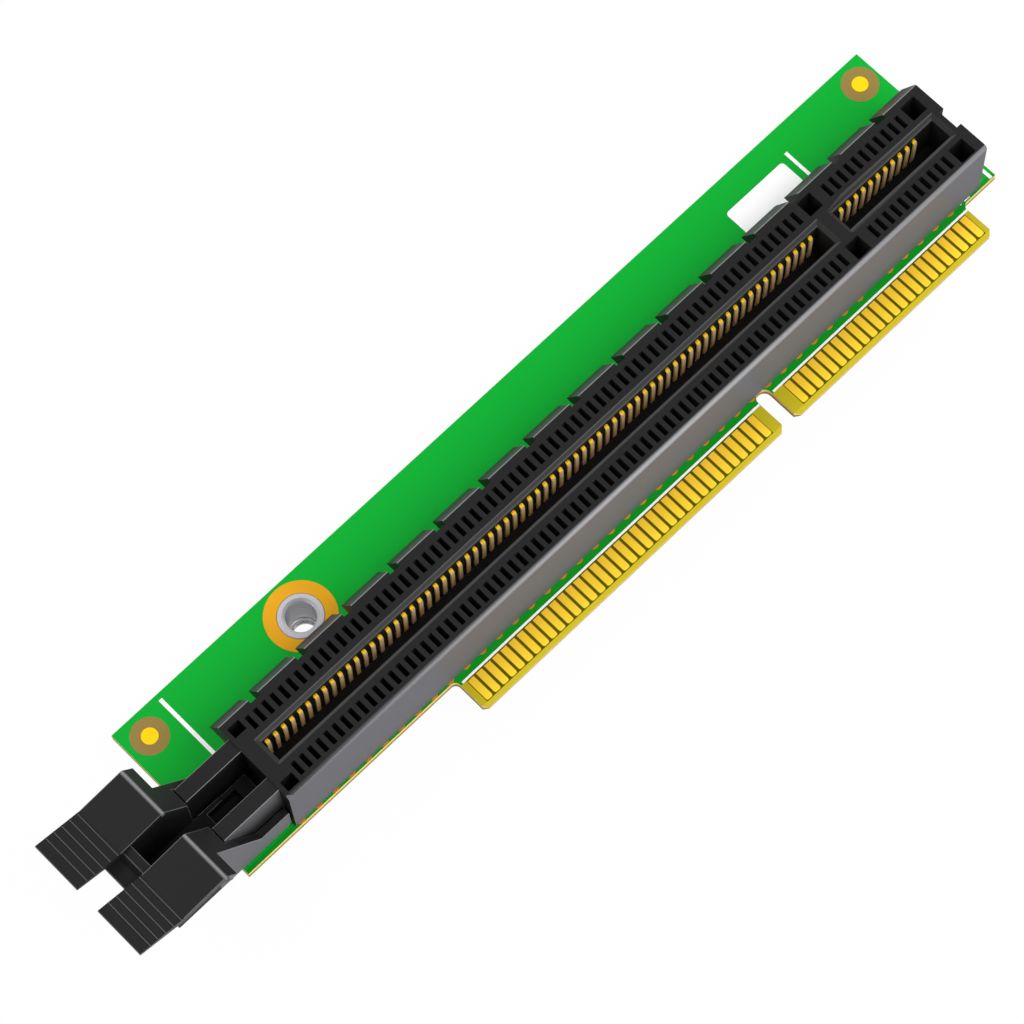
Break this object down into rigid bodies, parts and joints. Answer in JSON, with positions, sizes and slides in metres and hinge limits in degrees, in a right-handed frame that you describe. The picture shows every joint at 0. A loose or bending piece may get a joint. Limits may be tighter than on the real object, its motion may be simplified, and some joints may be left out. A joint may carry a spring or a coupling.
{
  "type": "pcie riser card",
  "caption": "Green riser board with a long black card slot, a hinged card latch at one end, a gold edge connector below and a threaded standoff nut.",
  "frame": {"origin": "slot centreline at the first contact, on the top face of the board", "axes": "+X along the slot away from the latch, +Y towards the rear edge of the board, +Z out of the card slot"},
  "size_m": [0.1119, 0.0225, 0.019],
  "materials": {
    "board_laminate": "satin solder mask",
    "housing_plastic": "matte",
    "latch_plastic": "matte",
    "contact_plating": "plated",
    "finger_plating": "plated",
    "nut_plating": "tin plated",
    "pad_copper": "plated",
    "solder": "satin"
  },
  "bodies": {
    "card": {"circuit_board": "board_laminate", "slot_housing": "housing_plastic", "mounting_nut": "nut_plating", "contacts_front_long_outer": "contact_plating", "contacts_front_long_inner": "contact_plating", "contacts_front_short_outer": "contact_plating", "contacts_front_short_inner": "contact_plating", "contacts_rear_long_outer": "contact_plating", "contacts_rear_long_inner": "contact_plating", "contacts_rear_short_outer": "contact_plating", "contacts_rear_short_inner": "contact_plating", "edge_fingers_top_long": "finger_plating", "edge_fingers_top_short": "finger_plating", "edge_fingers_under_long": "finger_plating", "edge_fingers_under_short": "finger_plating", "solder_joints_front_outer": "solder", "solder_joints_front_inner": "solder", "solder_joints_rear_inner": "solder", "solder_joints_rear_outer": "solder", "nut_pad": "pad_copper", "fiducial_pads": "pad_copper"},
    "latch": {"card_latch": "latch_plastic"}
  },
  "joints": [
    {"name": "latch_hinge", "type": "hinge", "parent": "card", "child": "latch", "pos_m": [-0.0072, 0, 0.0022], "axis": [0, -1, 0], "range_deg": [0, 15]}
  ]
}
